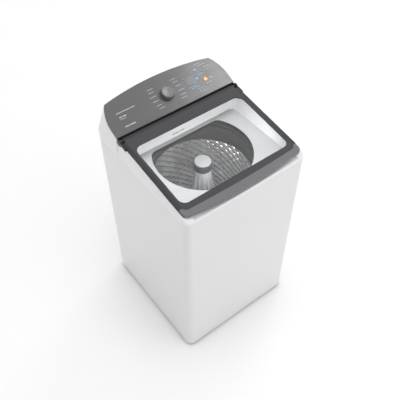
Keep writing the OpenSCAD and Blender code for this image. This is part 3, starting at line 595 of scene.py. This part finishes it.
def make_agitator():
    """The lower and the upper part, half a millimetre apart at the joint."""
    lower_high, upper_low = AGITATOR_JOINT - 0.0003, AGITATOR_JOINT + 0.0002
    loft_agitator("agitator_lower", AGITATOR_LOW, lower_high, 60, BASE_CORE, BASE_BIG, BASE_SMALL,
                  small_half=0.0025, bore_low=0.42, node="agitator_base")
    loft_agitator("agitator_upper", upper_low, AGITATOR_HIGH, 52, COLUMN_CORE, COLUMN_BIG, COLUMN_SMALL,
                  small_half=0.003, bore_low=upper_low, node="agitator_column")


# ---------- springs and bellows ----------

def make_springs():
    """A wound spring at each of the four rods, with its end turns lying flat."""
    low, high, wire, radius = 0.336, 0.425, 0.0018, 0.0105
    rod_out = 0.222
    turns, flat_turns, steps, sides = 5.0, 0.6, 28, 10
    n = int(turns * steps)
    verts, faces = [], []
    for rod_x in (-rod_out, rod_out):
        for rod_y in (-rod_out, rod_out):
            first = len(verts)
            for i in range(n + 1):
                a = 2 * math.pi * i / steps
                rise = max(0.0, min(1.0, (i / n * turns - flat_turns) / (turns - 2 * flat_turns)))
                z = low + wire + (high - low - 2 * wire) * rise
                for b in ring_angles(sides):
                    r = radius + wire * math.cos(b)
                    verts.append((rod_x + r * math.cos(a), AXIS_Y + rod_y + r * math.sin(a),
                                  z + wire * math.sin(b)))
            faces += rings_to_faces(n + 1, sides, first)
            faces.append(cap(first, sides, True))
            faces.append(cap(first + n * sides, sides))
    springs = add_piece("coil_springs", verts, faces, "cabinet", "spring_steel", 60.0,
                        ["suspension_springs"])
    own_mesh(springs)


def make_bellows():
    """The pleated rubber sleeve between the pump and the tub's outlet."""
    low, high, folds, steps, around = 0.170, 0.304, 9, 8, 64
    outer_r, inner_r, fold_depth, fold_shape = 0.024, 0.0215, 0.0058, 0.8
    outer, inner = [], []
    for i in range(folds * steps + 1):
        z = low + (high - low) * i / (folds * steps)
        fold = fold_depth * (0.5 - 0.5 * math.cos(2 * math.pi * i / steps)) ** fold_shape
        outer.append((outer_r + fold, z))
        inner.append((inner_r + fold, z))
    verts, faces = revolve(outer + inner[::-1], around, BELLOWS_AT)
    sleeve = add_piece("drain_sleeve", verts, faces, "cabinet", "black_rubber", 50.0,
                       ["drain_bellows"])
    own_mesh(sleeve)


# ---------- loading opening ----------

def opening_outline(inset):
    """The cover's D-shaped opening round the tub's axis, straight at the back, drawn this much smaller."""
    r, back, corner = 0.203, 0.120, 0.035
    side_steps, corner_steps = 60, 12
    ky = back - corner
    kx = math.sqrt((r - corner) ** 2 - ky ** 2)
    turn = math.atan2(ky, kx)
    half = []
    for i in range(side_steps + 1):
        a = -math.pi / 2 + (turn + math.pi / 2) * i / side_steps
        half.append(((r - inset) * math.cos(a), (r - inset) * math.sin(a)))
    for i in range(1, corner_steps + 1):
        a = turn + (math.pi / 2 - turn) * i / corner_steps
        half.append((kx + (corner - inset) * math.cos(a), ky + (corner - inset) * math.sin(a)))
    return half + [(-x, y) for x, y in reversed(half[1:])]


def make_opening_shadow():
    """Dark band on the inside of the loading opening, a painted shadow on the cover's lip."""
    outer_inset, inner_inset = 0.0001, 0.0012
    low, high = 0.8705, 0.8848
    outer, inner = opening_outline(outer_inset), opening_outline(inner_inset)
    verts = [(x, AXIS_Y + y, z) for row, z in ((outer, low), (outer, high), (inner, high), (inner, low))
             for x, y in row]
    around = len(outer)
    faces = rings_to_faces(4, around) + last_to_first(4, around)
    # the band takes the black rubber material as painted shadow
    add_piece("opening_shadow", verts, faces, "cabinet", "black_rubber")


# ---------- lid glass ----------

def make_glass_print():
    """The lid's printed border as it shows through the glass, drawn as a film on the upper face."""
    gap, thinner = 0.00003, 0.2
    border, glass = nodes["glass_border"], nodes["lid_glass"]
    to_lid = LID.inverted()
    points = [to_lid @ border.matrix_world @ vertex.co for vertex in border.data.vertices]
    glass_top = max((to_lid @ glass.matrix_world @ vertex.co).z for vertex in glass.data.vertices)
    underside = min(point.z for point in points)
    verts = [LID @ Vector((point.x, point.y, glass_top + gap + thinner * (point.z - underside)))
             for point in points]
    faces = [tuple(polygon.vertices) for polygon in border.data.polygons]
    add_piece("glass_print", verts, faces, "lid", "glass_print")


# ---------- printed marks ----------

# Gap between the bars of one label and height of the small labels, in millimetres.
WORD_GAP = 1.3
SMALL_LABEL = 2.2
# How much a cut corner takes of a bar's half length or half height, whichever is less.
CORNER_CUT = 0.45


class Print:
    """Thin bars on one surface that become one piece. All measures are in millimetres."""

    def __init__(self, surface):
        self.surface = surface
        self.verts = []
        self.faces = []

    def bar(self, x0, x1, y0, y1, low, high):
        """A bar with cut corners, from (x0, y0) to (x1, y1) in the surface's own frame, and from low to high
        out of it."""
        cx, cy = (x0 + x1) / 2, (y0 + y1) / 2
        w, h = abs(x1 - x0) / 2, abs(y1 - y0) / 2
        cut = min(w, h) * CORNER_CUT
        outline = [(-w + cut, -h), (w - cut, -h), (w, -h + cut), (w, h - cut), (w - cut, h), (-w + cut, h),
                   (-w, h - cut), (-w, -h + cut)]
        first, n = len(self.verts), len(outline)
        for z in (low, high):
            for x, y in outline:
                self.verts.append(self.surface @ Vector(((cx + x) / 1000, (cy + y) / 1000, z / 1000)))
        self.faces.append(cap(first, n, True))
        self.faces.append(cap(first + n, n))
        self.faces += rings_to_faces(2, n, first)

    def label(self, x, y, lengths, height, gap=WORD_GAP, low=-0.05, high=0.08):
        """A row of short bars that stands for a printed label."""
        for length in lengths:
            self.bar(x, x + length, y - height / 2, y + height / 2, low, high)
            x += length + gap

    def add(self, name, body, material):
        add_piece(name, self.verts, self.faces, body, material)


def make_pale_marks():
    """Plain bars at the panel's left end, programme labels round the knob, two labels at the right."""
    marks = Print(PANEL)
    marks.label(-233, 89, [26, 34, 22], 3.4)
    marks.label(-230, 70, [13, 16], 4.6, 3)
    marks.label(-230, 61, [26], 2.0)
    marks.label(-229, 27, [18, 26], 5.0, 3)
    # the programme labels stand on an arc at each side of the knob, with a tick between knob and label
    tick, word_high = 2.2, 2.4
    first_angle, angle_step = -60, 24
    arc_from, arc_out, arc_up = 36, 16, 52
    right_tick, left_tick = -5, 2.8
    words = [[9, 14], [12, 8], [7, 10, 6], [15, 6], [10, 9], [8, 13]]
    for i, (right, left) in enumerate(zip(words, words[::-1])):
        angle = math.radians(first_angle + angle_step * i)
        y = KNOB_UP + arc_up * math.sin(angle)
        x = arc_from + arc_out * math.cos(angle)
        marks.label(x, y, right, word_high)
        marks.label(x + right_tick, y, [tick], tick)
        length = sum(left) + WORD_GAP * (len(left) - 1)
        marks.label(-x - length, y, left, word_high)
        marks.label(-x + left_tick, y, [tick], tick)
    marks.label(203, 60, [16], SMALL_LABEL)
    marks.label(203, 66, [11], SMALL_LABEL)
    marks.add("panel_marks_pale", "cabinet", "print_pale")


def make_coloured_marks(name, material, rows):
    """Labels round the display and the buttons, each given as its place and the lengths of its bars."""
    marks = Print(PANEL)
    for x, y, lengths in rows:
        marks.label(x, y, lengths, SMALL_LABEL)
    marks.add(name, "cabinet", material)


def make_panel_marks():
    """All the print on the control panel, in its three colours."""
    make_pale_marks()
    make_coloured_marks("panel_marks_blue", "print_blue", (
        (172, 140, [14, 18]), (92, 103, [12, 20]), (96, 57, [8, 16, 10]), (102, 49, [18, 22]),
        (126, 38, [9, 12, 9]), (128, 22, [14, 12, 16]), (166, 95, [10, 14])))
    make_coloured_marks("panel_marks_rose", "print_rose", (
        (186, 130, [20, 14]), (205, 116, [18, 12]), (176, 46, [14, 10])))


def make_seam_shadow():
    """Dark strip on the console's front edge behind the lid, a painted shadow in the seam: one bar on the
    slope, one upright.
    """
    half = 283.5
    seam_strip = Print(PANEL)
    seam_strip.bar(-half, half, -0.9, 1.3, -1.4, 0.12)
    seam_strip.surface = Matrix.Translation((0, 0.1411, 0)) @ Matrix.Rotation(math.radians(90.0), 4, "X")
    seam_strip.bar(-half, half, 982.0, 1000.6, -0.1, 0.5)
    seam_strip.add("seam_shadow", "cabinet", "lid_plastic")


def make_well_marks():
    """Plain marks on the well's rear wall."""
    wall = Matrix.Translation((0, 0.118, 0.9035)) @ Matrix.Rotation(math.radians(90.0), 4, "X")
    dark = Print(wall)
    dark.label(-47, 0.4, [11, 17], 4.2, gap=1.6, low=-0.1, high=0.15)
    dark.add("well_mark_dark", "cabinet", "print_dark")
    pale = Print(wall)
    pale.label(20, 0.0, [24, 20], 1.6, gap=1.6, low=-0.1, high=0.12)
    pale.add("well_mark_pale", "cabinet", "print_grey")


def make_knob_pointer():
    """The pointer line on top of the knob."""
    pointer = Print(PANEL @ Matrix.Translation((0, KNOB_UP / 1000, 0)))
    pointer.bar(-1.0, 1.0, 13.0, 21.5, 14.6, 16.35)
    pointer.add("knob_pointer", "knob", "print_pale")


# ---------- floor and light ----------

def add_floor():
    """A square floor, made of cells, with the machine in its middle."""
    half, cells = 30.0, 24
    edge = [-half + 2 * half * i / cells for i in range(cells + 1)]
    verts = [(x, y, 0.0) for x in edge for y in edge]
    row = cells + 1
    faces = [(i * row + j, (i + 1) * row + j, (i + 1) * row + j + 1, i * row + j + 1)
             for i in range(cells) for j in range(cells)]
    mesh = bpy.data.meshes.new("floor")
    mesh.from_pydata(verts, [], faces)
    floor = bpy.data.objects.new("floor", mesh)
    scene.collection.objects.link(floor)
    mesh.materials.append(MATERIALS["floor_paint"])


def add_world():
    """A soft dome of light, a little dimmer on the left than on the right, with a glow overhead."""
    world = bpy.data.worlds.new("studio")
    world.use_nodes = True
    tree = world.node_tree
    background = tree.nodes["Background"]
    background.inputs["Color"].default_value = (1.0, 1.0, 1.0, 1.0)
    direction = tree.nodes.new("ShaderNodeSeparateXYZ")
    tree.links.new(tree.nodes.new("ShaderNodeTexCoord").outputs["Generated"], direction.inputs["Vector"])

    def ramp(axis, from_low, from_high, low, high):
        node = tree.nodes.new("ShaderNodeMapRange")
        node.interpolation_type = "SMOOTHSTEP"
        node.inputs["From Min"].default_value = from_low
        node.inputs["From Max"].default_value = from_high
        node.inputs["To Min"].default_value = low
        node.inputs["To Max"].default_value = high
        tree.links.new(direction.outputs[axis], node.inputs["Value"])
        return node.outputs["Result"]

    both = tree.nodes.new("ShaderNodeMath")
    tree.links.new(ramp("X", -1.0, 0.6, 0.62, 0.84), both.inputs[0])
    tree.links.new(ramp("Z", 0.89, 1.0, 0.0, 2.8), both.inputs[1])
    tree.links.new(both.outputs["Value"], background.inputs["Strength"])
    scene.world = world
    scene.view_settings.view_transform = "Standard"
    scene.view_settings.look = "None"


def add_light(name, place, target, size, power, spread=180.0, hidden=False):
    """A rectangular lamp, with its spread in degrees. A hidden one isn't seen directly or through glass."""
    data = bpy.data.lights.new(name, "AREA")
    data.shape = "RECTANGLE"
    data.size, data.size_y = size
    data.energy = power
    data.spread = math.radians(spread)
    light = bpy.data.objects.new(name, data)
    scene.collection.objects.link(light)
    light.location = place
    light.rotation_mode = "QUATERNION"
    light.rotation_quaternion = (Vector(target) - Vector(place)).to_track_quat("-Z", "Y")
    if hidden:
        light.visible_camera = False
        light.visible_transmission = False
    return light


def light_only(light, names, state="INCLUDE"):
    """Let this light fall on the named objects alone, or on all but them."""
    takers = bpy.data.collections.new(light.name + "_takers")
    light.light_linking.receiver_collection = takers
    for name in names:
        takers.objects.link(bpy.data.objects[name])
    for taker in takers.collection_objects:
        taker.light_linking.link_state = state


def add_lights():
    """Two lamps for the whole scene, then those that fall on some pieces only."""
    add_light("key", (3.04, 1.55, 3.08), (0.0, 0.0, 0.7), (1.3, 1.3), 14.0)
    add_light("front_fill", (1.7, -2.7, 1.5), (0.2, -0.3, 0.7), (1.6, 1.6), 8.5)
    # the sheen across the control panel
    sheen = add_light("panel_sheen", (2.5, -0.1, 4.1), (0.0, 0.2, 1.0), (1.3, 1.3), 60.0)
    light_only(sheen, ["console_fascia", "display_window", "programme_knob", "knob_pointer", "start_button",
                       "option_button_1", "option_button_2", "panel_marks_pale", "panel_marks_blue",
                       "panel_marks_rose"])
    # a strip under the front of the lid, for all but the tub cover, which has a lamp of its own
    well_light = add_light("well_light", (0.0, -0.225, 0.928), (0.0, 0.22, 0.78), (0.42, 0.03), 0.44,
                           spread=115.0, hidden=True)
    light_only(well_light, ["tub_cover"], "EXCLUDE")
    cover_light = add_light("cover_light", (-0.3, -0.3, 2.3), (0.05, 0.0, 0.886), (0.5, 0.5), 17.0)
    light_only(cover_light, ["tub_cover"])
    # a small lamp for the well's right wall, on the top cover alone
    wall_light = add_light("wall_light", (-0.2, -0.1, 0.93), (0.268, -0.1, 0.925), (0.03, 0.2), 0.16,
                           spread=60.0, hidden=True)
    light_only(wall_light, ["top_cover"])
    # a stronger strip near the first, for the basket alone
    basket_light = add_light("basket_light", (0.0, -0.215, 0.928), (0.05, 0.2, 0.6), (0.4, 0.05), 2.1,
                             hidden=True)
    light_only(basket_light, ["basket_wall", "basket_holes"])


# ---------- CAD pieces ----------

def paint_cad():
    """Each CAD piece takes its slot's material, but for two that take a darker copy of the white plastic, as
    painted shade.
    """
    slot_of = {row["node"]: row["material_slot"] for row in frame["record"]["subparts"]}
    shaded_copies = {"dispenser_cap": "cap_plastic_shaded", "tub_cover": "cover_plastic_shaded"}
    for name, obj in nodes.items():
        obj.data.materials.clear()
        obj.data.materials.append(MATERIALS[shaded_copies.get(name, slot_of[name])])
    # a hair of air between the glass and the print under it
    air = 0.00008
    shrink = nodes["glass_border"].modifiers.new("shrink", "DISPLACE")
    shrink.strength = -air
    shrink.mid_level = 0.0


add_camera()
make_materials()
paint_cad()
make_basket_wall()
make_basket_holes()
make_agitator()
make_springs()
make_bellows()
make_opening_shadow()
make_glass_print()
make_panel_marks()
make_seam_shadow()
make_well_marks()
make_knob_pointer()
add_floor()
add_world()
add_lights()
